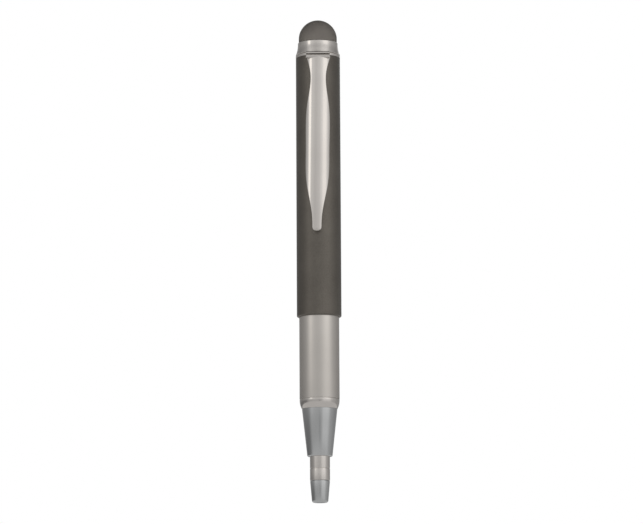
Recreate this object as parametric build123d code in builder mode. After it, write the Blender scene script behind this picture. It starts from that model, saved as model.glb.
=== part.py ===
"""Telescopic ballpoint pen with a twist-out refill and a soft stylus dome.

Millimetres. The pen stands on its axis, +Z from the writing end towards the stylus
dome, with the clip on the -Y side. The origin is the centre of the barrel's mouth.
The pen is drawn out to its full length and the refill is drawn in.
"""

import os
from math import atan, cos, degrees, radians

from build123d import *

os.makedirs("parts", exist_ok=True)

# Fits: gaps between faces, taken on the radius where both faces are round
slide_fit = 0.05  # tube in barrel and cartridge in liner
glide_fit = 0.02  # nylon glide ring in barrel
turn_fit = 0.05  # cam in its housing
follower_fit = 0.08  # refill carriage in the cam
pin_fit = 0.06  # carriage pin in its two slots
point_fit = 0.075  # refill in the bore of the nose
key_fit = 0.05  # cam keys in the liner's slots
stop_gap = 0.05  # left between two faces that stop each other
hinge_gap = 0.05  # clip root under the tab that carries it

# Barrel: a drawn metal tube, cylindrical up to the clip and then very slightly tapered
barrel_radius = 5.2
barrel_taper = 0.02  # off the radius at the top
barrel_length = 61.4
shank_length = 19.0
barrel_wall = 0.5
edge_break = 0.12

# Liner pressed into the barrel, slotted for the keys of the cam
liner_wall = 0.45
key_width = 2.0
key_height = 3.0

# Slide tube and what it ends in
tube_reach = 19.2  # out of the barrel when drawn out
closed_reveal = 0.2  # out of the barrel when pushed in
tube_hold = 4.2  # in the barrel when drawn out
glide_height = 1.6
glide_depth = 0.2
glide_setback = 1.2
ring_length = 2.28
ring_step = 0.02  # ring inside the tube's surface
ring_round = 0.49  # off the radius at the ring's foot
ring_land = 0.3  # straight part of the ring above its rounded foot
spigot_length = 6.0
glide_slit = 0.5
spigot_wall = 0.8
thread_wall = 0.6
thread_length = 5.5

# Cone and nose
cone_length = 11.1
cone_step = 0.03  # cone inside the ring's foot
cone_foot_radius = 2.91
cone_foot_break = 0.2
web_thickness = 1.0
web_bore = 1.6
sleeve_radius = 2.32
sleeve_wall = 0.5
sleeve_length = 5.58
sleeve_seat = 4.0
sleeve_line_height = 2.6  # above the sleeve's foot
sleeve_line_width = 0.2
sleeve_line_depth = 0.06
tip_length = 5.14
tip_top_radius = 2.3
tip_foot_radius = 1.86
tip_end_round = 0.35
tip_groove = 0.1  # open between the sleeve and the tip

# Refill: a small all-metal refill of the standard 67 mm length
refill_length = 67.0
refill_radius = 1.175
refill_wall = 0.25
point_setback = 0.3  # inside the nose when drawn in
point_taper = 4.0
point_flange = 3.0
point_stem = 2.0
point_end_radius = 0.42
ball_radius = 0.35
ink_length = 40.0

# Twist mechanism
refill_stroke = 3.0
twist_angle = 180.0
socket_depth = 5.0
carriage_head = 2.6
pin_radius = 0.7
pin_root = 1.2  # past the axis, inside the carriage
pin_setback = 0.15  # inside the outer face of the housing
head_room = 1.4
housing_wall = 0.75
cam_wall = 0.92
cam_head = 4.0
key_lift = 0.45
cam_tail = 2.0  # below the shoulder of the housing
shoulder_drop = 12.0  # housing top down to the shoulder
clip_groove = 0.35
retainer_thickness = 0.4
retainer_reach = 0.3
retainer_opening = 3.0
housing_seat = 7.2
housing_lip = 0.45
seat_thickness = 1.5
seat_height = 5.0  # above the housing's foot
seat_bore = 1.4
spring_radius = 1.85
spring_wire = 0.18
spring_turns = 7
spring_gap = 0.05

# Crown: plug, clip ring, collar and dome
plug_length = 6.0
stud_radius = 3.2
clip_ring_thickness = 0.6
clip_ring_inset = 0.0
clip_ring_round = 0.48
collar_height = 3.1
collar_inset = 0.02
collar_groove = 0.15
collar_waist = 0.34  # off the radius at half height
collar_flare = 0.44  # off the radius at the top
dome_inset = 0.24
dome_skirt = 0.95
dome_wall = 1.0
dome_lip = 0.6
button_height = 0.8
button_gap = 0.3  # round the button that holds the dome
button_step = 0.7  # from the button in to its neck

# Clip: widths, each with its height below the root or above the tip
clip_head_width = 5.6
clip_neck_width = 3.7
clip_neck_drop = 4.3
clip_shoulder_width = 5.06
clip_shoulder_drop = 11.5
clip_width = 5.5
clip_belly_drop = 22.0
clip_hip_width = 5.06
clip_hip_rise = 11.5
clip_blade_width = 3.3
clip_blade_rise = 5.3
clip_tip_width = 2.7
clip_thickness = 0.95
clip_tip_height = 19.4
clip_corner = 0.8
clip_root_radius = 0.5
clip_root_offset = 0.28
clip_bow = 0.45
clip_tip_offset = 1.4
clip_outer_arch = 4.2
clip_inner_arch = 6.0
bead_width = 1.8
bead_corner = 0.5
bead_gap = 0.2
bead_inset = 1.5

# Heights and radii that follow from the sizes above
barrel_top_radius = barrel_radius - barrel_taper
bore_radius = barrel_radius - barrel_wall
tube_radius = bore_radius - slide_fit
liner_bore = bore_radius - liner_wall
housing_radius = liner_bore - slide_fit
tube_bore = housing_radius
travel = tube_reach - closed_reveal

tube_foot = -tube_reach
glide_top = tube_hold - glide_setback
glide_foot = glide_top - glide_height
glide_bore = tube_radius - glide_depth
thread_radius = tube_bore - spigot_wall
ring_radius = tube_radius - ring_step
ring_foot_radius = ring_radius - ring_round
cone_top_radius = ring_foot_radius - cone_step
ring_foot = tube_foot - ring_length
cone_foot = ring_foot - cone_length
sleeve_foot = cone_foot - sleeve_length
nose_end = sleeve_foot - tip_length
nose_bore = refill_radius + point_fit
sleeve_bore = sleeve_radius - sleeve_wall
sleeve_top = cone_foot + sleeve_seat

point_end = nose_end + point_setback
refill_top = point_end + refill_length
ball_height = point_end + ball_radius
flange_foot = ball_height + point_taper
refill_tube_foot = flange_foot + point_flange
refill_bore = refill_radius - refill_wall
stem_top = refill_tube_foot + point_stem

carriage_foot = refill_top - socket_depth
carriage_top = refill_top + carriage_head
pin_height = refill_top + carriage_head / 2
housing_bore = housing_radius - housing_wall
cam_radius = housing_bore - turn_fit
cam_bore = cam_radius - cam_wall
carriage_radius = cam_bore - follower_fit
housing_top = carriage_top + head_room
housing_foot = tube_hold - housing_seat
housing_lower_bore = housing_radius - housing_lip
shoulder_height = housing_top - shoulder_drop
retainer_top = shoulder_height - stop_gap
retainer_foot = retainer_top - retainer_thickness
cam_foot = shoulder_height - cam_tail
flange_height = housing_top + stop_gap
cam_top = flange_height + cam_head
key_foot = flange_height + key_lift
key_radius = bore_radius - key_fit - glide_fit
slot_radius = pin_radius + pin_fit
pin_reach = housing_radius - pin_setback
pin_way = Vector(1, 0, 0).rotate(Axis.Z, -twist_angle)
pin_plane = Plane(origin=(0, 0, pin_height), x_dir=pin_way.rotate(Axis.Z, 90), z_dir=pin_way)
seat_foot = housing_foot + seat_height
seat_top = seat_foot + seat_thickness

liner_foot = tube_hold + travel + stop_gap
plug_foot = barrel_length - plug_length
clip_ring_radius = barrel_top_radius - clip_ring_inset
collar_foot_radius = barrel_top_radius - collar_inset
collar_waist_radius = collar_foot_radius - collar_waist
collar_top_radius = collar_foot_radius - collar_flare
dome_radius = collar_top_radius - dome_inset
collar_foot = barrel_length + clip_ring_thickness
collar_top = collar_foot + collar_height
dome_centre = collar_top + dome_skirt
dome_bore = dome_radius - dome_wall
button_radius = dome_bore - button_gap
neck_radius = button_radius - button_step
button_foot = collar_top + dome_lip
button_top = button_foot + button_height

clip_root_height = barrel_length - hinge_gap - clip_root_radius
clip_root_y = -(barrel_radius + clip_root_offset + clip_root_radius)
clip_tip_y = -(barrel_radius + clip_tip_offset)
clip_bow_height = (clip_root_height + clip_tip_height) / 2
clip_bow_y = (clip_root_y + clip_tip_y) / 2 - clip_bow


def wall(inner, outer, foot, top, mode=Mode.ADD):
    """Half section of a round wall, from one radius to another and one height to another."""
    with Locations((inner, foot)):
        Rectangle(outer - inner, top - foot, align=(Align.MIN, Align.MIN), mode=mode)


def finish(piece, name):
    """Label a finished piece and write it out."""
    piece.part.label = name
    export_step(piece.part, f"parts/{name}.step")


# ---------------------------------------------------------------- barrel group
with BuildPart() as barrel:
    with BuildSketch(Plane.XZ):
        with BuildLine():
            Polyline(
                (bore_radius, 0),
                (barrel_radius, 0),
                (barrel_radius, shank_length),
                (barrel_top_radius, barrel_length),
                (bore_radius, barrel_length),
                close=True,
            )
        make_face()
    revolve(axis=Axis.Z)
    rims = barrel.edges().filter_by(GeomType.CIRCLE).filter_by(lambda e: e.radius > bore_radius + edge_break)
    chamfer([rims.sort_by(Axis.Z)[0], rims.sort_by(Axis.Z)[-1]], length=edge_break)
finish(barrel, "barrel")

with BuildPart() as key_liner:
    with BuildSketch(Plane.XZ):
        wall(liner_bore, bore_radius, liner_foot, plug_foot)
    revolve(axis=Axis.Z)
    with BuildSketch(Plane.XY.offset(key_foot - stop_gap)):
        Rectangle(2 * barrel_radius, key_width + 2 * key_fit)
    extrude(amount=barrel_length, mode=Mode.SUBTRACT)
finish(key_liner, "key_liner")

with BuildPart() as crown_plug:
    with BuildSketch(Plane.XZ):
        wall(0, bore_radius, plug_foot, barrel_length)
        wall(0, stud_radius, barrel_length, collar_top)
        wall(0, neck_radius, collar_top, button_foot)
        wall(0, button_radius, button_foot, button_top)
    revolve(axis=Axis.Z)
    chamfer(crown_plug.edges().group_by(Axis.Z)[0], length=edge_break)
    chamfer(crown_plug.edges().group_by(Axis.Z)[-1], length=button_height / 2)
finish(crown_plug, "crown_plug")

with BuildPart() as clip_ring:
    with BuildSketch(Plane.XY.offset(barrel_length)):
        Circle(clip_ring_radius)
        Rectangle(clip_head_width, clip_root_radius - clip_root_y, align=(Align.CENTER, Align.MAX))
        Circle(stud_radius, mode=Mode.SUBTRACT)
    extrude(amount=clip_ring_thickness)
    front = clip_ring.faces().sort_by(Axis.Y)[0]
    fillet(front.edges().sort_by(Axis.Z)[-1], radius=clip_ring_round)
finish(clip_ring, "clip_ring")

with BuildPart() as crown_collar:
    with BuildSketch(Plane.XZ):
        with BuildLine():
            foot = Line((stud_radius, collar_foot), (collar_foot_radius - collar_groove, collar_foot))
            lip = Line(foot @ 1, (collar_foot_radius, collar_foot + collar_groove))
            flare = ThreePointArc(
                lip @ 1,
                (collar_waist_radius, collar_foot + collar_height / 2),
                (collar_top_radius, collar_top),
            )
            Polyline(flare @ 1, (stud_radius, collar_top), foot @ 0)
        make_face()
    revolve(axis=Axis.Z)
    rim = crown_collar.edges().group_by(Axis.Z)[-1].sort_by(SortBy.LENGTH)[-1]
    chamfer(rim, length=edge_break)
finish(crown_collar, "crown_collar")

with BuildPart() as stylus_dome:
    with BuildSketch(Plane.XZ):
        with BuildLine():
            skirt = Line((neck_radius, collar_top), (dome_radius, collar_top))
            side = Line(skirt @ 1, (dome_radius, dome_centre))
            crest = CenterArc((0, dome_centre), dome_radius, 0, 90)
            Polyline(
                crest @ 1,
                (0, dome_centre + dome_bore),
                (dome_bore, button_top),
                (dome_bore, button_foot),
                (neck_radius, button_foot),
                skirt @ 0,
            )
        make_face()
    revolve(axis=Axis.Z)
finish(stylus_dome, "stylus_dome")

# ---------------------------------------------------------------- clip
with BuildLine(Plane.YZ):
    bow = ThreePointArc(
        (clip_root_y, clip_root_height),
        (clip_bow_y, clip_bow_height),
        (clip_tip_y, clip_tip_height),
    )

with BuildPart() as clip:
    # domed section, its local Y pointing away from the barrel
    with BuildSketch(Plane(origin=bow @ 0, x_dir=(1, 0, 0), z_dir=bow % 0)):
        with Locations((0, clip_thickness / 2 - clip_outer_arch)):
            Circle(clip_outer_arch)
        Rectangle(clip_head_width, 4 * clip_thickness, mode=Mode.INTERSECT)
        with Locations((0, -clip_thickness / 2 - clip_inner_arch)):
            Circle(clip_inner_arch, mode=Mode.SUBTRACT)
    # turned a little past the tip, where the outline cuts it
    arm_arc = degrees((bow.length + clip_thickness) / bow.radius)
    revolve(axis=Axis(bow.arc_center, (1, 0, 0)), revolution_arc=arm_arc)
    with BuildSketch(Plane.XZ):
        top = (clip_head_width / 2, clip_root_height)
        neck = (clip_neck_width / 2, clip_root_height - clip_neck_drop)
        shoulder = (clip_shoulder_width / 2, clip_root_height - clip_shoulder_drop)
        belly = (clip_width / 2, clip_root_height - clip_belly_drop)
        hip = (clip_hip_width / 2, clip_tip_height + clip_hip_rise)
        blade = (clip_blade_width / 2, clip_tip_height + clip_blade_rise)
        end = (clip_tip_width / 2, clip_tip_height + clip_corner)
        with BuildLine():
            side = Spline(top, neck, shoulder, belly, hip, blade, end)
            corner = CenterArc((end[0] - clip_corner, end[1]), clip_corner, 0, -90)
            head = (clip_head_width / 2, barrel_length)
            Polyline(corner @ 1, (0, clip_tip_height), (0, barrel_length), head, side @ 0)
        make_face()
        mirror(about=Plane.YZ)
    extrude(amount=2 * barrel_radius + clip_tip_offset, mode=Mode.INTERSECT)
    with BuildSketch(Plane.YZ.offset(-clip_head_width / 2)):
        with Locations((clip_root_y, clip_root_height)):
            Circle(clip_root_radius)
    extrude(amount=clip_head_width)
    with BuildSketch(Plane.XZ.offset(barrel_radius + bead_gap)):
        with Locations((0, clip_tip_height + bead_inset)):
            RectangleRounded(bead_width, bead_width, bead_corner)
    extrude(amount=clip_tip_offset - bead_gap)
finish(clip, "clip")

# ---------------------------------------------------------------- cam, keyed to the barrel
with BuildPart() as cam_rotor:
    with BuildSketch(Plane.XZ):
        wall(cam_bore, cam_radius, cam_foot, flange_height)
        wall(0, cam_bore, housing_top, flange_height)
        wall(0, housing_radius, flange_height, cam_top)
        wall(cam_radius - clip_groove, cam_radius, retainer_foot, retainer_top, mode=Mode.SUBTRACT)
    revolve(axis=Axis.Z)
    # two keys across the head, their ends round to clear the barrel
    with BuildSketch(Plane.XY.offset(key_foot)):
        Circle(key_radius)
        Rectangle(2 * key_radius, key_width, mode=Mode.INTERSECT)
    extrude(amount=key_height)
    # helical slot: half a turn to the left over the refill's stroke
    middle = cam_bore + cam_wall / 2
    lead = atan(refill_stroke / (radians(twist_angle) * cam_bore))
    slot_end = pin_height - refill_stroke
    with BuildLine(Plane.XY.offset(slot_end)):
        Helix(pitch=refill_stroke * 360 / twist_angle, height=refill_stroke, radius=middle, lefthand=True)
    with BuildSketch(Plane.XZ):
        with Locations((middle, slot_end)):
            Rectangle(cam_wall * 2, 2 * slot_radius / cos(lead))
    sweep(is_frenet=True, mode=Mode.SUBTRACT)
    for end_plane in (pin_plane, Plane(origin=(0, 0, slot_end), z_dir=(1, 0, 0))):
        with BuildSketch(end_plane):
            Circle(slot_radius)
        extrude(amount=2 * cam_radius, mode=Mode.SUBTRACT)
finish(cam_rotor, "cam_rotor")

with BuildPart() as retaining_ring:
    with BuildSketch(Plane.XY.offset(retainer_foot)):
        Circle(cam_radius + retainer_reach)
        Circle(cam_radius - clip_groove, mode=Mode.SUBTRACT)
        with Locations((cam_radius, 0)):
            Rectangle(2 * cam_radius, retainer_opening, mode=Mode.SUBTRACT)
    extrude(amount=retainer_thickness)
finish(retaining_ring, "retaining_ring")

# ---------------------------------------------------------------- slide tube group
with BuildPart() as slide_tube:
    with BuildSketch(Plane.XZ):
        wall(tube_bore, tube_radius, tube_foot, tube_hold)
        wall(glide_bore, tube_radius, glide_foot, glide_top, mode=Mode.SUBTRACT)
    revolve(axis=Axis.Z)
    rims = slide_tube.edges().filter_by(GeomType.CIRCLE).filter_by(lambda e: e.radius > glide_bore)
    chamfer([rims.sort_by(Axis.Z)[0], rims.sort_by(Axis.Z)[-1]], length=edge_break)
finish(slide_tube, "slide_tube")

with BuildPart() as glide_ring:
    with BuildSketch(Plane.XZ):
        wall(glide_bore, bore_radius - glide_fit, glide_foot, glide_top)
    revolve(axis=Axis.Z)
    with BuildSketch(Plane.XY.offset(glide_foot)):
        with Locations((0, bore_radius)):
            Rectangle(glide_slit, bore_radius, mode=Mode.ADD)
    extrude(amount=glide_height, mode=Mode.SUBTRACT)
finish(glide_ring, "glide_ring")

with BuildPart() as cam_housing:
    with BuildSketch(Plane.XZ):
        wall(housing_lower_bore, housing_radius, housing_foot, shoulder_height)
        wall(housing_bore, housing_radius, shoulder_height, housing_top)
    revolve(axis=Axis.Z)
    with BuildSketch(pin_plane):
        with Locations((0, -refill_stroke / 2)):
            SlotCenterToCenter(refill_stroke, 2 * slot_radius, rotation=90)
    extrude(amount=2 * housing_radius, mode=Mode.SUBTRACT)
finish(cam_housing, "cam_housing")

with BuildPart() as spring_seat:
    with BuildSketch(Plane.XZ):
        wall(seat_bore, housing_lower_bore, seat_foot, seat_top)
    revolve(axis=Axis.Z)
    chamfer(spring_seat.edges().group_by(Axis.Z)[0], length=edge_break)
finish(spring_seat, "spring_seat")

spring_foot = seat_top + spring_wire + spring_gap
spring_length = carriage_foot - spring_wire - spring_gap - spring_foot
with BuildPart() as return_spring:
    with BuildLine(Plane.XY.offset(spring_foot)):
        Helix(pitch=spring_length / spring_turns, height=spring_length, radius=spring_radius)
    with BuildSketch(Plane.XZ):
        with Locations((spring_radius, spring_foot)):
            RegularPolygon(spring_wire, 6)
    sweep(is_frenet=True)
finish(return_spring, "return_spring")

with BuildPart() as tube_ring:
    with BuildSketch(Plane.XZ):
        wall(thread_radius, tube_bore, tube_foot, tube_foot + spigot_length)
        with BuildLine():
            land = Line((ring_radius, tube_foot), (ring_radius, tube_foot - ring_land))
            foot = TangentArc(land @ 1, (ring_foot_radius, ring_foot), tangent=land % 1)
            Polyline(foot @ 1, (thread_radius, ring_foot), (thread_radius, tube_foot), land @ 0)
        make_face()
    revolve(axis=Axis.Z)
    shoulder = tube_ring.edges().filter_by(GeomType.CIRCLE).group_by(SortBy.RADIUS)[-1].sort_by(Axis.Z)[-1]
    chamfer(shoulder, length=edge_break)
finish(tube_ring, "tube_ring")

with BuildPart() as cone:
    cone_bore = thread_radius - thread_wall
    with BuildSketch(Plane.XZ):
        with BuildLine():
            Polyline(
                (cone_bore, ring_foot + thread_length),
                (thread_radius, ring_foot + thread_length),
                (thread_radius, ring_foot),
                (cone_top_radius, ring_foot),
                (cone_foot_radius, cone_foot),
                (sleeve_radius, cone_foot),
                (sleeve_radius, sleeve_top),
                (web_bore, sleeve_top),
                (web_bore, sleeve_top + web_thickness),
                (cone_bore, sleeve_top + web_thickness),
                close=True,
            )
        make_face()
    revolve(axis=Axis.Z)
    rims = cone.edges().group_by(Axis.Z)[0].sort_by(SortBy.RADIUS)
    chamfer(rims[-1], length=cone_foot_break)
    chamfer(cone.edges().group_by(Axis.Z)[-1].sort_by(SortBy.RADIUS)[-1], length=edge_break)
finish(cone, "cone")

with BuildPart() as nose_sleeve:
    line_foot = sleeve_foot + sleeve_line_height
    with BuildSketch(Plane.XZ):
        wall(sleeve_bore, sleeve_radius, sleeve_foot, sleeve_top)
        wall(
            sleeve_radius - sleeve_line_depth,
            sleeve_radius,
            line_foot,
            line_foot + sleeve_line_width,
            mode=Mode.SUBTRACT,
        )
    revolve(axis=Axis.Z)
    chamfer(nose_sleeve.edges().group_by(Axis.Z)[0].sort_by(SortBy.RADIUS)[-1], length=edge_break)
finish(nose_sleeve, "nose_sleeve")

with BuildPart() as nose_tip:
    with BuildSketch(Plane.XZ):
        wall(nose_bore, sleeve_bore, sleeve_foot - tip_groove, sleeve_top)
        with BuildLine():
            Polyline(
                (nose_bore, nose_end),
                (tip_foot_radius, nose_end),
                (tip_top_radius, sleeve_foot - tip_groove),
                (nose_bore, sleeve_foot - tip_groove),
                close=True,
            )
        make_face()
    revolve(axis=Axis.Z)
    rims = nose_tip.edges().group_by(Axis.Z)[0].sort_by(SortBy.RADIUS)
    fillet(rims[-1], radius=tip_end_round)
    chamfer(rims[0], length=edge_break)
finish(nose_tip, "nose_tip")

# ---------------------------------------------------------------- refill and its carriage
with BuildPart() as refill_carriage:
    with BuildSketch(Plane.XZ):
        wall(refill_radius, carriage_radius, carriage_foot, refill_top)
        wall(0, carriage_radius, refill_top, carriage_top)
    revolve(axis=Axis.Z)
    chamfer(refill_carriage.edges().group_by(Axis.Z)[-1], length=edge_break)
    with BuildSketch(pin_plane.offset(-pin_root)):
        Circle(pin_radius)
    extrude(amount=pin_root + 2 * carriage_radius, mode=Mode.SUBTRACT)
finish(refill_carriage, "refill_carriage")

with BuildPart() as carriage_pin:
    with BuildSketch(pin_plane.offset(-pin_root)):
        Circle(pin_radius)
    extrude(amount=pin_root + pin_reach)
finish(carriage_pin, "carriage_pin")

with BuildPart() as refill_tube:
    with BuildSketch(Plane.XZ):
        wall(refill_bore, refill_radius, refill_tube_foot, refill_top)
    revolve(axis=Axis.Z)
finish(refill_tube, "refill_tube")

with BuildPart() as refill_ink:
    with BuildSketch(Plane.XZ):
        wall(0, refill_bore, stem_top, stem_top + ink_length)
    revolve(axis=Axis.Z)
finish(refill_ink, "refill_ink")

with BuildPart() as refill_point:
    with BuildSketch(Plane.XZ):
        with BuildLine():
            Polyline(
                (0, ball_height + ball_radius),
                (ball_radius, ball_height + ball_radius),
                (ball_radius, ball_height),
                (point_end_radius, ball_height),
                (refill_radius, flange_foot),
                (refill_radius, refill_tube_foot),
                (refill_bore, refill_tube_foot),
                (refill_bore, stem_top),
                (0, stem_top),
                close=True,
            )
        make_face()
    revolve(axis=Axis.Z)
finish(refill_point, "refill_point")

with BuildPart() as refill_ball:
    with Locations((0, 0, ball_height)):
        Sphere(ball_radius)
finish(refill_ball, "refill_ball")
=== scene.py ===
"""Telescopic ballpoint pen with a stylus dome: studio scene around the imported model."""
from math import asin, atan2, cos, degrees, pi, radians, sin, sqrt, tan

import bmesh
import bpy
from mathutils import Matrix, Vector


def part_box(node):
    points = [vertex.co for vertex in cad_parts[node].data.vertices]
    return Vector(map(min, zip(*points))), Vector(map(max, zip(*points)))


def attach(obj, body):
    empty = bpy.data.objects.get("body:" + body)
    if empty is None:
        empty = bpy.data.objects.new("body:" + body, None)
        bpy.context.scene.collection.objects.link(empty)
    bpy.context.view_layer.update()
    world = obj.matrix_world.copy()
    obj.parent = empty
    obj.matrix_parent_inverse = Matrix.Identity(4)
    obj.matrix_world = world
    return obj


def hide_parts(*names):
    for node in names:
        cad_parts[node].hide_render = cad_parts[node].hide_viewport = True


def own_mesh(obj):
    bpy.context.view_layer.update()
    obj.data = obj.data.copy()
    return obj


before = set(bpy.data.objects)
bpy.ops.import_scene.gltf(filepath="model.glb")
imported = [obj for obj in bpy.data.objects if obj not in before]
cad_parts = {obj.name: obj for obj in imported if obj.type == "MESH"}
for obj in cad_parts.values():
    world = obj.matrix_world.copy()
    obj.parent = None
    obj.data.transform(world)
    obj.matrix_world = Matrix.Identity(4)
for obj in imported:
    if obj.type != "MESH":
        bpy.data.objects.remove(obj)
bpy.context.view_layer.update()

MM = 0.001


def low(node):
    """Lowest corner of a node's box, in mm."""
    return Vector(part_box(node)[0]) / MM


def high(node):
    """Highest corner of a node's box, in mm."""
    return Vector(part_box(node)[1]) / MM


# ------------------------------------------------------------------ sizes, in mm
TURN_STEPS = 128        # facets round a turned piece
ROUND_STEPS = 6         # facets in a rounded corner
EDGE = 0.12             # how far the ends of the tubes are eased
SMOOTH_BELOW = 32       # degrees; steeper corners stay crisp
MERGE = 0.0005          # points closer than this become one
SEAT = 0.01             # clearance between pieces that are pressed or screwed together

BARREL_WALL = 0.5
BARREL_SHANK = 19.0     # height of the true cylinder above the mouth
BARREL_TAPER = 0.02     # what the radius loses above it
MOUTH_INNER_ROUND = 0.08
MOUTH_ROUND = 0.35
TUBE_WALL = 0.45
TUBE_FOOT_ROUND = 0.05
JOINT = 0.06            # width of the dark line left between the tube and its ring
JOINT_DEPTH = 0.2
JOINT_ROUND = 0.05
RING_LAND = 0.3         # straight part of the ring below the joint
RING_ROUND = 0.49       # how far its foot is drawn in
RING_BORE = 3.4
RING_FOOT_ROUND = 0.04
RING_STEPS = 12
CONE_BORE = 2.8
CONE_WEB_BORE = 1.6
CONE_WEB = 1.0          # thickness of the web that the sleeve stops on
CONE_FOOT = 2.91
CONE_FOOT_ROUND = 0.25
CONE_SHOULDER_ROUND = 0.06
CONE_TOP_ROUND = 0.1
SLEEVE_BORE = 1.82
SLEEVE_FOOT_ROUND = 0.1
LINE_HEIGHT = 2.68      # fine turned line above the sleeve's foot
LINE_WIDTH = 0.22
LINE_DEPTH = 0.06
LINE_SIDE = 0.05        # slope of its two sides
LINE_ROUND = 0.03
TIP_BORE = 1.25
TIP_TOP = 2.3
TIP_FOOT = 1.86
TIP_ROUND = 0.5
TIP_HOLE_ROUND = 0.12
TIP_TOP_ROUND = 0.08
TIP_GROOVE = 0.1
COLLAR_BORE = 3.2
COLLAR_FOOT = 5.18
COLLAR_WAIST = 4.80
COLLAR_TOP = 4.68
COLLAR_CHAMFER = 0.2    # at its foot
COLLAR_FOOT_ROUND = 0.05
COLLAR_TOP_ROUND = 0.2
COLLAR_STEPS = 12
HANGER_ROUND = 0.06     # edges of the ring that carries the clip
DOME_WALL = 1.0
DOME_SKIRT = 0.95
DOME_BORE = 2.48
DOME_LIP = 0.6          # height of the lip that grips the button
DOME_SOCKET = 1.4       # height of the straight part of its socket
DOME_FOOT_ROUND = 0.15
DOME_STEPS = 40

# widths of the clip, from the root down to the tip: (height, width)
CLIP_OUTLINE = (
    (60.85, 5.6), (56.55, 3.7), (49.35, 5.06), (38.85, 5.5),
    (30.9, 5.06), (24.7, 2.85), (22.5, 2.3), (19.8, 2.15),
)
CLIP_THICKNESS = 0.95
CLIP_OUTER_ARCH = 4.2
CLIP_INNER_ARCH = 6.0
CLIP_CORNER = 0.8
CLIP_EDGE = 0.14
CLIP_ROOT = (-5.98, 60.85)      # (y, z) of the line that the blade's middle follows
CLIP_BOW = (-6.74, 40.125)
CLIP_TIP = (-6.6, 19.4)
CLIP_ROOT_RADIUS = 0.5
CLIP_ROOT_STEPS = 32
CLIP_ROOT_CLOSE = 0.8           # what the root's two ends are shrunk to
CLIP_LEAST = 0.3                # half of its least width
CLIP_OUTER_STEPS = 12           # facets from the middle to an edge, on the outer face
CLIP_INNER_STEPS = 6
CLIP_STEPS = 150                # rows along the blade
CLIP_TIP_STEPS = 8              # rows in its rounded end
CLIP_TIP_LEVEL = 1.0            # length whose rows stay level, so that the end is flat
CLIP_TIP_EASE = 0.25            # length over which the end gets thinner
CLIP_TIP_THIN = 0.3             # share of the thickness lost there
CLIP_LEAN = (60, 0.12, 0.0135)  # height, sideways there, and what that loses for each mm below
BEAD_WIDTH = 1.8
BEAD_CORNER = 0.5
BEAD_INSET = 1.5                # its middle above the end of the clip
BEAD_GAP = 0.2
BEAD_LEVELS = ((0.0, 0.72), (0.1, 0.9), (0.3, 1.0), (1.25, 1.0))    # (depth, share of width)
TAB_WIDTH = 5.6
TAB_EDGE = 0.1
TAB_BEND = 0.48
TAB_FOOT_ROUND = 0.08
TAB_OVERLAP = 0.4               # how far the tab reaches into its ring
TAB_INSET = 0.02                # how far it keeps inside the ring's faces

# ballpoint: (radius, height above the ball's middle, corner radius)
POINT_OUTLINE = (
    (0, 0.02), (0.38, 0.02), (0.42, 0.06, 0.02), (0.62, 1.4, 0.2), (0.95, 2.6, 0.2),
)
POINT_SHOULDER = 4.0            # height above the ball's middle, where it gets its full radius
POINT_SHOULDER_ROUND = 0.3
POINT_TANG = (0.9, 2.0)         # radius and length of the end pressed into the refill's tube
POINT_TANG_ROUND = 0.05
BALL_STEPS = 16


# ------------------------------------------------------------------ colour and nodes
def tint(code):
    """sRGB hex code to linear colour, opaque."""
    shares = [int(code[i:i + 2], 16) / 255 for i in (0, 2, 4)]
    return [c / 12.92 if c <= 0.04045 else ((c + 0.055) / 1.055) ** 2.4
            for c in shares] + [1.0]


def add(tree, kind, inputs=None, **settings):
    """Adds a node, with settings, and with inputs that are values or other nodes' sockets."""
    node = tree.nodes.new(kind)
    for key, value in settings.items():
        setattr(node, key, value)
    for key, value in (inputs or {}).items():
        socket = node.inputs[key]
        if isinstance(value, bpy.types.NodeSocket):
            tree.links.new(value, socket)
        else:
            socket.default_value = value
    return node


def ramp(tree, factor, stops, interpolation="LINEAR"):
    """Colour ramp with (place, grey or colour) stops."""
    node = add(tree, "ShaderNodeValToRGB", {"Fac": factor})
    band = node.color_ramp
    band.interpolation = interpolation
    while len(band.elements) < len(stops):
        band.elements.new(0.5)
    for element, (place, colour) in zip(band.elements, stops):
        element.position = place
        element.color = colour if isinstance(colour, list) else (colour, colour, colour, 1)
    return node.outputs["Color"]


def new_material(name):
    material = bpy.data.materials.new(name)
    material.use_nodes = True
    material.node_tree.nodes.clear()
    return material, material.node_tree


def finish_material(material, tree, shader):
    output = add(tree, "ShaderNodeOutputMaterial")
    tree.links.new(shader.outputs[0], output.inputs["Surface"])
    return material


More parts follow.
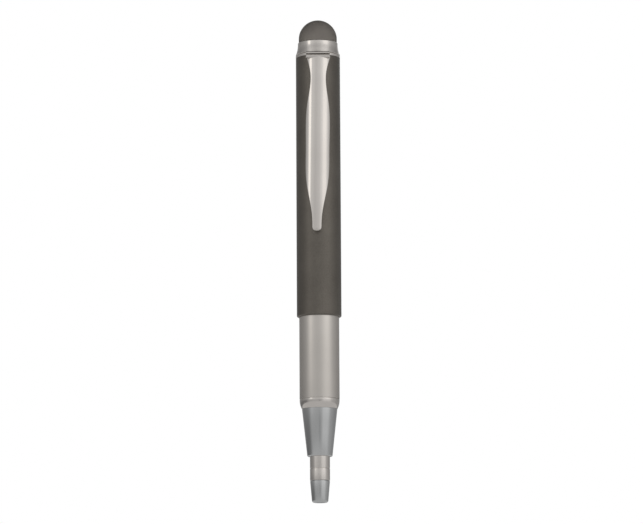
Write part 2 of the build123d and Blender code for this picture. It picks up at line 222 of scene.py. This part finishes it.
def metal(name, colour, shade, roughness, grain_mm, grain, streak=1.0, bump=0.0):
    """Metal whose tone and roughness vary: grain in mm, which streak stretches round the axis."""
    material, tree = new_material(name)
    place = add(tree, "ShaderNodeTexCoord").outputs["Object"]
    scaled = add(tree, "ShaderNodeMapping", {"Vector": place, "Scale": (1, 1, streak)})
    noise = add(tree, "ShaderNodeTexNoise", {
        "Vector": scaled.outputs["Vector"], "Scale": 1 / (grain_mm * MM),
        "Detail": 3.0, "Roughness": 0.6})
    # slow changes of tone, about 9 mm across
    cloud = add(tree, "ShaderNodeTexNoise", {
        "Vector": place, "Scale": 1 / (9 * MM), "Detail": 2.0, "Roughness": 0.5})
    blend = add(tree, "ShaderNodeMath", {0: noise.outputs["Fac"], 1: cloud.outputs["Fac"]},
                operation="MULTIPLY")
    body = ramp(tree, blend.outputs[0], ((0.12, tint(shade)), (0.42, tint(colour))))
    rough = add(tree, "ShaderNodeMapRange", {
        "Value": noise.outputs["Fac"], "From Min": 0.3, "From Max": 0.7,
        "To Min": roughness - grain, "To Max": roughness + grain})
    inputs = {"Base Color": body, "Metallic": 1.0, "Roughness": rough.outputs["Result"]}
    if bump:
        relief = add(tree, "ShaderNodeBump", {
            "Height": noise.outputs["Fac"], "Strength": bump, "Distance": 0.01 * MM})
        inputs["Normal"] = relief.outputs["Normal"]
    shader = add(tree, "ShaderNodeBsdfPrincipled", inputs)
    return finish_material(material, tree, shader)


def plastic(name, colour, shade, roughness, grain_mm, bump, specular=0.5):
    """Moulded plastic, rubber or paste with a fine grain."""
    material, tree = new_material(name)
    place = add(tree, "ShaderNodeTexCoord").outputs["Object"]
    noise = add(tree, "ShaderNodeTexNoise", {
        "Vector": place, "Scale": 1 / (grain_mm * MM), "Detail": 4.0, "Roughness": 0.6})
    # slow changes of tone, about 4 mm across
    cloud = add(tree, "ShaderNodeTexNoise", {
        "Vector": place, "Scale": 1 / (4 * MM), "Detail": 2.0, "Roughness": 0.5})
    body = ramp(tree, cloud.outputs["Fac"], ((0.3, tint(shade)), (0.65, tint(colour))))
    relief = add(tree, "ShaderNodeBump", {
        "Height": noise.outputs["Fac"], "Strength": bump, "Distance": 0.03 * MM})
    shader = add(tree, "ShaderNodeBsdfPrincipled", {
        "Base Color": body, "Roughness": roughness, "Specular IOR Level": specular,
        "Normal": relief.outputs["Normal"]})
    return finish_material(material, tree, shader)


def lacquer():
    """Metallic lacquer baked on brass: flakes under a satin clear coat give soft highlights."""
    material, tree = new_material("gunmetal metallic lacquer")
    place = add(tree, "ShaderNodeTexCoord").outputs["Object"]
    # flakes are about 0.02 mm and are drawn at 0.12 mm so that they show
    flakes = add(tree, "ShaderNodeTexVoronoi", {"Vector": place, "Scale": 1 / (0.12 * MM)})
    cloud = add(tree, "ShaderNodeTexNoise", {"Vector": place, "Scale": 1 / (6 * MM), "Detail": 3.0})
    mix = add(tree, "ShaderNodeMix", {
        0: 0.35, 2: cloud.outputs["Fac"], 3: flakes.outputs["Color"]}, data_type="FLOAT")
    body = ramp(tree, mix.outputs[0], (
        (0.25, tint("605b55")), (0.5, tint("6a655e")), (0.8, tint("736e67"))))
    rough = add(tree, "ShaderNodeMapRange", {
        "Value": flakes.outputs["Distance"], "From Min": 0.0, "From Max": 0.7,
        "To Min": 0.36, "To Max": 0.46})
    shader = add(tree, "ShaderNodeBsdfPrincipled", {
        "Base Color": body, "Metallic": 0.85, "Roughness": rough.outputs["Result"],
        "Coat Weight": 0.15, "Coat Roughness": 0.25})
    return finish_material(material, tree, shader)


# Chromium plate over polished brass: mirror-like, faintly warm, softened by fine polishing.
CHROME = metal("polished chromium plate", "d4cfca", "cbc6c1",
               0.14, 0.25, 0.03, streak=6.0, bump=0.05)
# The slide tube is plated over a brushed tube, so its highlights spread further.
SATIN = metal("satin chromium plate", "d2cdc7", "c8c3bd",
              0.36, 0.3, 0.05, streak=8.0, bump=0.08)
# The cone and the nose are cooler: nickel chromium straight over turned brass.
TURNED = metal("turned chromium plate", "c7c8c8", "babbbb",
               0.15, 0.2, 0.03, streak=10.0, bump=0.06)
# Hard-drawn steel wire: an even dull grey.
STEEL = metal("drawn spring steel", "a9a9aa", "8e8e90", 0.3, 0.15, 0.06)
# Thin nickelled brass tube, as drawn: a soft warm sheen with no polish.
REFILL = metal("nickelled brass tube", "c4c1b8", "b4b1a7", 0.28, 0.4, 0.05, streak=4.0)
# Bare turned brass: yellow, with fine rings left by the tool.
BRASS = metal("turned brass", "c9ad6a", "b1945a", 0.3, 0.3, 0.06, streak=8.0)
# Ground tungsten carbide: dark grey and nearly mirror-smooth.
TUNGSTEN = metal("ground ball carbide", "9a9a9c", "8a8a8d", 0.18, 0.1, 0.03)
# Conductive silicone, moulded: a dull warm dark grey with no hard highlight.
RUBBER = plastic("conductive silicone rubber", "7a756f", "726d68", 0.6, 0.15, 0.35, 0.3)
# Acetal, injection moulded: milky off-white with a waxy sheen.
ACETAL = plastic("moulded acetal", "dcdcd6", "d0d0ca", 0.42, 0.3, 0.15)
# Polypropylene with carbon black: near black and slightly greasy in its shine.
LINER = plastic("moulded black polypropylene", "2a2a2c", "222224", 0.5, 0.3, 0.2)
# Oil-based paste ink behind the wall of the tube: blue-black, wet and glossy.
INK = plastic("thick blue-black ink", "10101c", "0c0c16", 0.12, 0.8, 0.02)
LACQUER = lacquer()


# ------------------------------------------------------------------ shapes
def rounded(points):
    """Points (r, z) or (r, z, corner radius) with each named corner eased by an arc."""
    out = []
    count = len(points)
    for i, point in enumerate(points):
        corner = Vector(point[:2])
        radius = point[2] if len(point) > 2 else 0
        if not radius:
            out.append(corner)
            continue
        before = (Vector(points[i - 1][:2]) - corner).normalized()
        after = (Vector(points[(i + 1) % count][:2]) - corner).normalized()
        half = before.angle(after) / 2
        reach = radius / tan(half)
        centre = corner + (before + after).normalized() * radius / sin(half)
        start = corner + before * reach - centre
        end = corner + after * reach - centre
        sweep = atan2(start.x * end.y - start.y * end.x, start.dot(end))
        for step in range(ROUND_STEPS + 1):
            angle = sweep * step / ROUND_STEPS
            turned = Vector((start.x * cos(angle) - start.y * sin(angle),
                             start.x * sin(angle) + start.y * cos(angle)))
            out.append(centre + turned)
    return out


def arc(centre, radius, start, end, steps):
    """Points on an arc, angles in degrees."""
    return [(centre[0] + radius * cos(radians(start + (end - start) * i / steps)),
             centre[1] + radius * sin(radians(start + (end - start) * i / steps)))
            for i in range(steps + 1)]


def piece(name, mesh_data, material, body, node):
    """Makes an object from a bmesh, smooth with crisp corners, that stands for a CAD node."""
    bmesh.ops.remove_doubles(mesh_data, verts=mesh_data.verts, dist=MERGE * MM)
    bmesh.ops.recalc_face_normals(mesh_data, faces=mesh_data.faces)
    mesh = bpy.data.meshes.new(name)
    mesh_data.to_mesh(mesh)
    mesh_data.free()
    mesh.shade_smooth()
    mesh.set_sharp_from_angle(angle=radians(SMOOTH_BELOW))
    thing = bpy.data.objects.new(name, mesh)
    bpy.context.scene.collection.objects.link(thing)
    mesh.materials.append(material)
    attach(thing, body)
    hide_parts(node)
    return thing


def turn(mesh_data, outline):
    """Turns a closed outline of (r, z) in mm about the axis; points on the axis become poles."""
    circle = [(cos(2 * pi * k / TURN_STEPS), sin(2 * pi * k / TURN_STEPS))
              for k in range(TURN_STEPS)]
    rings = []
    for r, z in outline:
        if r < 1e-6:
            rings.append([mesh_data.verts.new((0, 0, z * MM))])
        else:
            rings.append([mesh_data.verts.new((r * x * MM, r * y * MM, z * MM))
                          for x, y in circle])
    for ring, following in zip(rings, rings[1:] + rings[:1]):
        if len(ring) == 1 and len(following) == 1:
            continue
        for k in range(TURN_STEPS):
            n = (k + 1) % TURN_STEPS
            corners = []
            for vert in (ring[k % len(ring)], ring[n % len(ring)],
                         following[n % len(following)], following[k % len(following)]):
                if vert not in corners:
                    corners.append(vert)
            mesh_data.faces.new(corners)


def skin(mesh_data, loops):
    """Closes a row of equal loops of vertices into a shell with flat ends."""
    for one, two in zip(loops, loops[1:]):
        for k in range(len(one)):
            n = (k + 1) % len(one)
            mesh_data.faces.new((one[k], one[n], two[n], two[k]))
    mesh_data.faces.new(loops[0])
    mesh_data.faces.new(loops[-1])


def turned_piece(name, outline, material, body, node):
    """A piece that is one closed outline turned about the axis."""
    mesh_data = bmesh.new()
    turn(mesh_data, outline)
    return piece(name, mesh_data, material, body, node)


# ------------------------------------------------------------------ barrel group
barrel_radius = high("barrel").x
barrel_top = high("barrel").z
turned_piece(
    "barrel_tube",
    rounded([
        (barrel_radius - BARREL_WALL, 0, MOUTH_INNER_ROUND),
        (barrel_radius, 0, MOUTH_ROUND),
        (barrel_radius, BARREL_SHANK),
        (barrel_radius - BARREL_TAPER, barrel_top, EDGE),
        (barrel_radius - BARREL_WALL, barrel_top),
    ]),
    LACQUER, "barrel", "barrel")

collar_foot, collar_top = low("crown_collar").z, high("crown_collar").z
collar_middle = (collar_foot + collar_top) / 2
# the flare is the parabola through its foot, waist and top
knots = ((COLLAR_FOOT, collar_foot + COLLAR_CHAMFER), (COLLAR_WAIST, collar_middle),
         (COLLAR_TOP, collar_top))
flare = []
for step in range(COLLAR_STEPS + 1):
    t = step / COLLAR_STEPS
    weights = ((1 - t) * (1 - 2 * t), 4 * t * (1 - t), t * (2 * t - 1))
    flare.append(tuple(sum(w * knot[i] for w, knot in zip(weights, knots)) for i in (0, 1)))
turned_piece(
    "collar",
    rounded([(COLLAR_BORE, collar_foot),
             (COLLAR_FOOT - COLLAR_CHAMFER, collar_foot, COLLAR_FOOT_ROUND)]
            + flare[:-1] + [(*flare[-1], COLLAR_TOP_ROUND), (COLLAR_BORE, collar_top)]),
    CHROME, "barrel", "crown_collar")

dome_radius = high("stylus_dome").x
dome_foot, dome_top = low("stylus_dome").z, high("stylus_dome").z
dome_centre = dome_foot + DOME_SKIRT
dome_inside = dome_radius - DOME_WALL
turned_piece(
    "stylus_tip_dome",
    rounded([(DOME_BORE, dome_foot), (dome_radius, dome_foot, DOME_FOOT_ROUND)]
            + arc((0, dome_centre), dome_radius, 0, 90, DOME_STEPS)[:-1] + [(0, dome_top)]
            + [(0, dome_centre + dome_inside), (dome_inside, dome_foot + DOME_SOCKET),
               (dome_inside, dome_foot + DOME_LIP), (DOME_BORE, dome_foot + DOME_LIP)]),
    RUBBER, "barrel", "stylus_dome")

# ring under the collar, with the tab that carries the clip bent down over its end
ring_foot, ring_top = low("clip_ring").z, high("clip_ring").z
tab_end = -low("clip_ring").y
mesh_data = bmesh.new()
turn(mesh_data, rounded([
    (COLLAR_BORE, ring_foot), (barrel_radius, ring_foot, HANGER_ROUND),
    (barrel_radius, ring_top, HANGER_ROUND), (COLLAR_BORE, ring_top)]))
tab_root = COLLAR_BORE + TAB_OVERLAP
tab_foot, tab_top = ring_foot + TAB_INSET, ring_top - TAB_INSET
tab_side = rounded([(tab_root, tab_foot), (tab_root, tab_top), (tab_end, tab_top, TAB_BEND),
                    (tab_end, tab_foot, TAB_FOOT_ROUND)])
across = ((-TAB_WIDTH / 2, TAB_EDGE), (-TAB_WIDTH / 2 + TAB_EDGE, 0.0),
          (TAB_WIDTH / 2 - TAB_EDGE, 0.0), (TAB_WIDTH / 2, TAB_EDGE))
middle = sum(tab_side, Vector((0, 0))) / len(tab_side)
loops = []
for x, inset in across:
    loop = []
    for point in tab_side:
        near = point + (middle - point).normalized() * inset
        loop.append(mesh_data.verts.new((x * MM, -near.x * MM, near.y * MM)))
    loops.append(loop)
skin(mesh_data, loops)
piece("clip_hanger", mesh_data, CHROME, "barrel", "clip_ring")


# ------------------------------------------------------------------ clip
def through(points, x):
    """Natural cubic spline through (x, y) points whose x falls."""
    xs, ys = zip(*points)
    last = len(points) - 1
    gaps = [xs[i + 1] - xs[i] for i in range(last)]
    slopes = [(ys[i + 1] - ys[i]) / gaps[i] for i in range(last)]
    second = [0.0] * (last + 1)
    diagonal, right = [1.0] * (last + 1), [0.0] * (last + 1)
    for i in range(1, last):
        share = gaps[i - 1] / diagonal[i - 1] if i > 1 else 0.0
        diagonal[i] = 2 * (gaps[i - 1] + gaps[i]) - share * gaps[i - 1]
        right[i] = 6 * (slopes[i] - slopes[i - 1]) - share * right[i - 1]
    for i in range(last - 1, 0, -1):
        second[i] = (right[i] - gaps[i] * second[i + 1]) / diagonal[i]
    i = 0
    while i < last - 1 and x < xs[i + 1]:
        i += 1
    t = x - xs[i]
    bend = slopes[i] - gaps[i] * (2 * second[i] + second[i + 1]) / 6
    return (ys[i] + bend * t + second[i] * t * t / 2
            + (second[i + 1] - second[i]) * t ** 3 / (6 * gaps[i]))


def circle_through(a, b, c):
    """Centre and radius of the circle through three points."""
    a, b, c = Vector(a), Vector(b), Vector(c)
    double_area = 2 * (a.x * (b.y - c.y) + b.x * (c.y - a.y) + c.x * (a.y - b.y))
    centre = Vector((
        (a.dot(a) * (b.y - c.y) + b.dot(b) * (c.y - a.y) + c.dot(c) * (a.y - b.y)) / double_area,
        (a.dot(a) * (c.x - b.x) + b.dot(b) * (a.x - c.x) + c.dot(c) * (b.x - a.x)) / double_area))
    return centre, (a - centre).length


bow_centre, bow_radius = circle_through(CLIP_ROOT, CLIP_BOW, CLIP_TIP)
tip_height = low("clip").z


def clip_section(height):
    """Closed loop (x, outward) of the clip's domed section at a height."""
    half = through(CLIP_OUTLINE, height) / 2
    rise = height - tip_height
    if rise < CLIP_CORNER:
        half += sqrt(max(CLIP_CORNER ** 2 - (CLIP_CORNER - rise) ** 2, 0)) - CLIP_CORNER
    half = max(half, CLIP_LEAST)
    outer = [(x, CLIP_THICKNESS / 2 - CLIP_OUTER_ARCH + sqrt(CLIP_OUTER_ARCH ** 2 - x * x))
             for x in [half * (k / CLIP_OUTER_STEPS - 1) for k in range(2 * CLIP_OUTER_STEPS + 1)]]
    inner = [(x, -CLIP_THICKNESS / 2 - CLIP_INNER_ARCH + sqrt(CLIP_INNER_ARCH ** 2 - x * x))
             for x in [half * (1 - k / CLIP_INNER_STEPS) for k in range(2 * CLIP_INNER_STEPS + 1)]]
    points = [(*outer[0], CLIP_EDGE)] + outer[1:-1] + [(*outer[-1], CLIP_EDGE)]
    points += [(*inner[0], CLIP_EDGE)] + inner[1:-1] + [(*inner[-1], CLIP_EDGE)]
    return rounded(points)


def sideways(height):
    """How far the clip, which is set slightly crooked, stands to the side at a height."""
    level, there, loss = CLIP_LEAN
    return there - loss * (level - height)


mesh_data = bmesh.new()
length = CLIP_ROOT[1] - tip_height
heights = [CLIP_ROOT[1] - length * k / CLIP_STEPS for k in range(CLIP_STEPS + 1)]
heights = [h for h in heights if h > tip_height + CLIP_CORNER]
heights += [tip_height + CLIP_CORNER * (1 - sin(radians(90 * k / CLIP_TIP_STEPS)))
            for k in range(CLIP_TIP_STEPS + 1)]
loops = []
for height in heights:
    # the bow's line and its outward direction at this height
    line_y = bow_centre.x - sqrt(bow_radius ** 2 - (height - bow_centre.y) ** 2)
    outward = (Vector((line_y, height)) - bow_centre).normalized()
    thin = CLIP_TIP_THIN * max(0.0, 1 - (height - tip_height) / CLIP_TIP_EASE)
    tilt = outward.y if height > tip_height + CLIP_TIP_LEVEL else 0.0
    section = clip_section(height)
    centre_line = sum(p.y for p in section) / len(section)
    loops.append([
        mesh_data.verts.new((
            (p.x + sideways(height)) * MM,
            (line_y + outward.x * (p.y + (centre_line - p.y) * thin)) * MM,
            (height + tilt * p.y) * MM))
        for p in section])
skin(mesh_data, loops)
# root that the tab bends round
root = arc(CLIP_ROOT, CLIP_ROOT_RADIUS, 0, 360, CLIP_ROOT_STEPS)[:-1]
ends = []
for x, shrink in ((-TAB_WIDTH / 2, CLIP_ROOT_CLOSE), (-TAB_WIDTH / 2 + TAB_EDGE, 1),
                  (TAB_WIDTH / 2 - TAB_EDGE, 1), (TAB_WIDTH / 2, CLIP_ROOT_CLOSE)):
    ends.append([mesh_data.verts.new((
        x * MM, (CLIP_ROOT[0] + (y - CLIP_ROOT[0]) * shrink) * MM,
        (CLIP_ROOT[1] + (z - CLIP_ROOT[1]) * shrink) * MM)) for y, z in root])
skin(mesh_data, ends)
# bead that rests near the barrel, with eased corners
bead_height = tip_height + BEAD_INSET
half = BEAD_WIDTH / 2
square = rounded([(-half, -half, BEAD_CORNER), (half, -half, BEAD_CORNER),
                  (half, half, BEAD_CORNER), (-half, half, BEAD_CORNER)])
skin(mesh_data, [[
    mesh_data.verts.new(((p.x * size + sideways(tip_height)) * MM,
                         -(barrel_radius + BEAD_GAP + depth) * MM,
                         (bead_height + p.y * size) * MM)) for p in square]
    for depth, size in BEAD_LEVELS])
piece("pocket_clip_blade", mesh_data, CHROME, "clip", "clip")

# ------------------------------------------------------------------ slide tube group
tube_radius = high("slide_tube").x
tube_foot, tube_top = low("slide_tube").z, high("slide_tube").z
turned_piece(
    "inner_tube",
    rounded([
        (tube_radius - TUBE_WALL, tube_foot), (tube_radius, tube_foot, TUBE_FOOT_ROUND),
        (tube_radius, tube_top, EDGE), (tube_radius - TUBE_WALL, tube_top),
    ]),
    SATIN, "front", "slide_tube")

trim_foot, trim_top = low("tube_ring").z, high("tube_ring").z
trim_radius = high("tube_ring").x
# its foot is rounded by an arc that starts along the side
drop = tube_foot - RING_LAND - trim_foot
foot_radius = (drop ** 2 + RING_ROUND ** 2) / (2 * RING_ROUND)
foot_angle = degrees(asin(drop / foot_radius))
spigot = tube_radius - TUBE_WALL - SEAT
turned_piece(
    "front_ring",
    rounded(
        [(RING_BORE, trim_foot), (trim_radius - RING_ROUND, trim_foot, RING_FOOT_ROUND)]
        + arc((trim_radius - foot_radius, trim_foot + drop), foot_radius,
              -foot_angle, 0, RING_STEPS)[1:]
        + [(trim_radius, tube_foot - JOINT, JOINT_ROUND),
           (trim_radius - JOINT_DEPTH, tube_foot - JOINT), (trim_radius - JOINT_DEPTH, tube_foot),
           (spigot, tube_foot), (spigot, trim_top), (RING_BORE, trim_top)]),
    CHROME, "front", "tube_ring")

cone_foot, cone_top = low("cone").z, high("cone").z
cone_radius = high("cone").x
sleeve_radius = high("nose_sleeve").x
sleeve_foot, sleeve_top = low("nose_sleeve").z, high("nose_sleeve").z
turned_piece(
    "front_cone",
    rounded([
        (sleeve_radius, cone_foot), (CONE_FOOT, cone_foot, CONE_FOOT_ROUND),
        (cone_radius, trim_foot, CONE_SHOULDER_ROUND), (RING_BORE - SEAT, trim_foot),
        (RING_BORE - SEAT, cone_top, CONE_TOP_ROUND), (CONE_BORE, cone_top),
        (CONE_BORE, sleeve_top + CONE_WEB), (CONE_WEB_BORE, sleeve_top + CONE_WEB),
        (CONE_WEB_BORE, sleeve_top + SEAT), (sleeve_radius, sleeve_top + SEAT),
    ]),
    TURNED, "front", "cone")

line_foot = sleeve_foot + LINE_HEIGHT
line_top = line_foot + LINE_WIDTH
line_radius = sleeve_radius - LINE_DEPTH
turned_piece(
    "nose_collar",
    rounded([
        (SLEEVE_BORE, sleeve_foot), (sleeve_radius, sleeve_foot, SLEEVE_FOOT_ROUND),
        (sleeve_radius, line_foot, LINE_ROUND), (line_radius, line_foot + LINE_SIDE),
        (line_radius, line_top - LINE_SIDE), (sleeve_radius, line_top, LINE_ROUND),
        (sleeve_radius, sleeve_top), (SLEEVE_BORE, sleeve_top),
    ]),
    CHROME, "front", "nose_sleeve")

nose_foot = low("nose_tip").z
tip_top = sleeve_foot - TIP_GROOVE
turned_piece(
    "nose_end",
    rounded([
        (TIP_BORE, nose_foot, TIP_HOLE_ROUND), (TIP_FOOT, nose_foot, TIP_ROUND),
        (TIP_TOP, tip_top, TIP_TOP_ROUND), (SLEEVE_BORE - SEAT, tip_top),
        (SLEEVE_BORE - SEAT, sleeve_top - SEAT), (TIP_BORE, sleeve_top - SEAT),
    ]),
    TURNED, "front", "nose_tip")

# ------------------------------------------------------------------ refill point
point_top = high("refill_point").z
point_radius = high("refill_point").x
tang, tang_length = POINT_TANG
ball_foot, ball_top = low("refill_ball").z, high("refill_ball").z
ball_radius = (ball_top - ball_foot) / 2
ball_middle = (ball_top + ball_foot) / 2
turned_piece(
    "ballpoint",
    rounded(
        [(r, ball_middle + rise, *corner) for r, rise, *corner in POINT_OUTLINE]
        + [(point_radius, ball_middle + POINT_SHOULDER, POINT_SHOULDER_ROUND),
           (point_radius, point_top - tang_length, POINT_TANG_ROUND),
           (tang, point_top - tang_length), (tang, point_top), (0, point_top)]),
    BRASS, "refill", "refill_point")
turned_piece(
    "writing_ball",
    [(0, ball_foot)] + arc((0, ball_middle), ball_radius, -90, 90, BALL_STEPS)[1:-1]
    + [(0, ball_top)],
    TUNGSTEN, "refill", "refill_ball")

# ------------------------------------------------------------------ inner pieces keep their shape
INNER = {
    "key_liner": LINER, "crown_plug": BRASS, "cam_rotor": ACETAL, "retaining_ring": STEEL,
    "glide_ring": ACETAL, "cam_housing": ACETAL, "spring_seat": BRASS,
    "refill_carriage": ACETAL, "carriage_pin": STEEL, "refill_tube": REFILL, "refill_ink": INK,
}
for node, material in INNER.items():
    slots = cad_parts[node].data.materials
    slots.clear()
    slots.append(material)

# The return spring is a mesh of its own, copied from its CAD part.
mesh_data = bmesh.new()
mesh_data.from_mesh(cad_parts["return_spring"].data)
spring = piece("coil_spring", mesh_data, STEEL, "front", "return_spring")
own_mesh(spring)

# ------------------------------------------------------------------ camera
DISTANCE = 0.9
ELEVATION = -8.5                    # degrees; the camera looks up a little
AIM = Vector((0.0006, 0, 0.01303))
ROLL = 0.30                         # degrees that the pen leans
LENS_PER_METRE = 239.7              # mm of focal length for each metre of distance
camera_data = bpy.data.cameras.new("camera")
camera_data.sensor_width = 36
camera_data.lens = LENS_PER_METRE * DISTANCE
camera_data.clip_start = 0.01
camera = bpy.data.objects.new("camera", camera_data)
bpy.context.scene.collection.objects.link(camera)
camera.location = AIM + DISTANCE * Vector((0, -cos(radians(ELEVATION)), sin(radians(ELEVATION))))
facing = (AIM - camera.location).to_track_quat("-Z", "Y").to_matrix()
camera.rotation_euler = (facing @ Matrix.Rotation(radians(-ROLL), 3, "Z")).to_euler()
bpy.context.scene.camera = camera


# ------------------------------------------------------------------ floor
FLOOR_HEIGHT = -0.45
FLOOR_RADIUS = 2.4
FLOOR_WHITE = 0.93      # share of plain white in the floor; the rest takes light and shadow
FLOOR_IN_METAL = 0.62   # how bright the floor looks as a reflection


def camera_or_glass(tree):
    """Light path node, and a socket that is 1 for what is seen directly or through glass."""
    path = add(tree, "ShaderNodeLightPath")
    seen = add(tree, "ShaderNodeMath", {
        0: path.outputs["Is Camera Ray"], 1: path.outputs["Is Transmission Ray"]},
        operation="MAXIMUM")
    return path, seen.outputs[0]


bpy.ops.mesh.primitive_circle_add(
    vertices=96, radius=FLOOR_RADIUS, fill_type="NGON", location=(0, 0, FLOOR_HEIGHT))
floor = bpy.context.object
floor.name = "studio_floor"
material, tree = new_material("white card floor")
path, seen = camera_or_glass(tree)
white = add(tree, "ShaderNodeMath", {0: seen, 1: FLOOR_WHITE}, operation="MULTIPLY")
share = add(tree, "ShaderNodeMath", {
    0: white.outputs[0], 1: path.outputs["Is Glossy Ray"]}, operation="MAXIMUM")
level = add(tree, "ShaderNodeMapRange", {
    "Value": seen, "To Min": FLOOR_IN_METAL, "To Max": 1.0})
card = add(tree, "ShaderNodeBsdfDiffuse", {"Color": tint("e6e6e4")})
glow = add(tree, "ShaderNodeEmission", {
    "Color": (1, 1, 1, 1), "Strength": level.outputs["Result"]})
finish_material(material, tree, add(tree, "ShaderNodeMixShader", {
    0: share.outputs[0], 1: card.outputs[0], 2: glow.outputs[0]}))
floor.data.materials.append(material)

# ------------------------------------------------------------------ light tent and lamps
# The tent's brightness by bearing: (degrees round from the front, brightness).
TENT_ABOVE = (
    (-180, 0.32), (-125, 0.31), (-100, 0.38), (-75, 0.50), (-60, 0.78), (-50, 0.88),
    (-36, 0.76), (-13, 0.67), (9, 0.75), (31, 0.98), (52, 1.04), (64, 0.92), (76, 0.64),
    (92, 0.50), (103, 0.45), (125, 0.35), (180, 0.32),
)
# Just below the horizon there is a darker strip straight in front.
TENT_BELOW = (
    (-180, 0.28), (-125, 0.20), (-90, 0.23), (-57, 0.50), (-28, 0.52), (-10, 0.52),
    (0, 0.42), (10, 0.54), (26, 0.76), (54, 0.76), (87, 0.50), (125, 0.38), (180, 0.28),
)
TENT_CHANGE = (-0.05, 0.12)     # height on the unit sphere, from all below to all above
# What the tent is multiplied by, from straight down, 0, past the horizon, 0.5, to overhead, 1.
TENT_BY_HEIGHT = (
    (0.0, 1.0), (0.58, 1.0), (0.65, 1.1), (0.70, 0.92), (0.76, 0.84), (0.83, 0.94),
    (0.88, 0.9), (0.95, 0.5), (1.0, 0.4),
)
TENT_ON_MATT = 0.42             # how much of the tent lights matt surfaces

world = bpy.data.worlds.new("light tent")
bpy.context.scene.world = world
world.use_nodes = True
tree = world.node_tree
tree.nodes.clear()
way = add(tree, "ShaderNodeTexCoord").outputs["Generated"]
parts = add(tree, "ShaderNodeSeparateXYZ", {"Vector": way})
front = add(tree, "ShaderNodeMath", {0: parts.outputs["Y"], 1: -1.0}, operation="MULTIPLY")
bearing = add(tree, "ShaderNodeMath", {0: parts.outputs["X"], 1: front.outputs[0]},
              operation="ARCTAN2")
bearing_share = add(tree, "ShaderNodeMapRange", {
    "Value": bearing.outputs[0], "From Min": -pi, "From Max": pi, "To Min": 0.0, "To Max": 1.0})
above, below = (
    ramp(tree, bearing_share.outputs["Result"],
         [((degrees_round + 180) / 360, level) for degrees_round, level in stops], "EASE")
    for stops in (TENT_ABOVE, TENT_BELOW))
lift = add(tree, "ShaderNodeMapRange", {
    "Value": parts.outputs["Z"], "From Min": TENT_CHANGE[0], "From Max": TENT_CHANGE[1],
    "To Min": 0.0, "To Max": 1.0}, interpolation_type="SMOOTHSTEP")
around = add(tree, "ShaderNodeMix", {
    0: lift.outputs["Result"], 6: below, 7: above}, data_type="RGBA")
height_share = add(tree, "ShaderNodeMapRange", {
    "Value": parts.outputs["Z"], "From Min": -1.0, "From Max": 1.0, "To Min": 0.0, "To Max": 1.0})
upward = ramp(tree, height_share.outputs["Result"], TENT_BY_HEIGHT)
tent = add(tree, "ShaderNodeMix", {
    6: around.outputs[2], 7: upward, 0: 1.0}, data_type="RGBA", blend_type="MULTIPLY")
path, seen = camera_or_glass(tree)
shown = add(tree, "ShaderNodeMix", {
    0: seen, 6: tent.outputs[2], 7: (1, 1, 1, 1)}, data_type="RGBA")
mirrored = add(tree, "ShaderNodeMath", {
    0: seen, 1: path.outputs["Is Glossy Ray"]}, operation="MAXIMUM")
strength = add(tree, "ShaderNodeMapRange", {
    "Value": mirrored.outputs[0], "To Min": TENT_ON_MATT, "To Max": 1.0})
backdrop = add(tree, "ShaderNodeBackground", {
    "Color": shown.outputs[2], "Strength": strength.outputs["Result"]})
add(tree, "ShaderNodeOutputWorld", {"Surface": backdrop.outputs[0]})

LAMPS = (
    # name, azimuth, elevation, distance, width, height, radiance, colour
    ("left soft box", -52, 17, 0.8, 0.20, 0.30, 0.60, "fffaf2"),
    ("right soft box", 46, 17, 0.8, 0.38, 0.30, 0.20, "fff8f0"),
    ("front fill", 1, -16, 0.55, 0.3, 0.3, 7.0, "ffffff"),
    ("back soft box", 170, 30, 0.9, 0.5, 0.5, 0.5, "ffffff"),
)
for name, azimuth, elevation, distance, width, tall, radiance, colour in LAMPS:
    lamp_data = bpy.data.lights.new(name, "AREA")
    lamp_data.shape = "RECTANGLE"
    lamp_data.size = width
    lamp_data.size_y = tall
    lamp_data.energy = pi * width * tall * radiance
    lamp_data.color = tint(colour)[:3]
    lamp = bpy.data.objects.new(name, lamp_data)
    bpy.context.scene.collection.objects.link(lamp)
    side, rise = radians(azimuth), radians(elevation)
    aim = Vector((sin(side) * cos(rise), -cos(side) * cos(rise), sin(rise)))
    lamp.location = aim * distance
    lamp.rotation_euler = (-aim).to_track_quat("-Z", "Y").to_euler()
    # the fill lights the rubber only; as a mirror image it would be a hot spot on the plating
    lamp.visible_glossy = name != "front fill"

bpy.context.scene.view_settings.view_transform = "Standard"
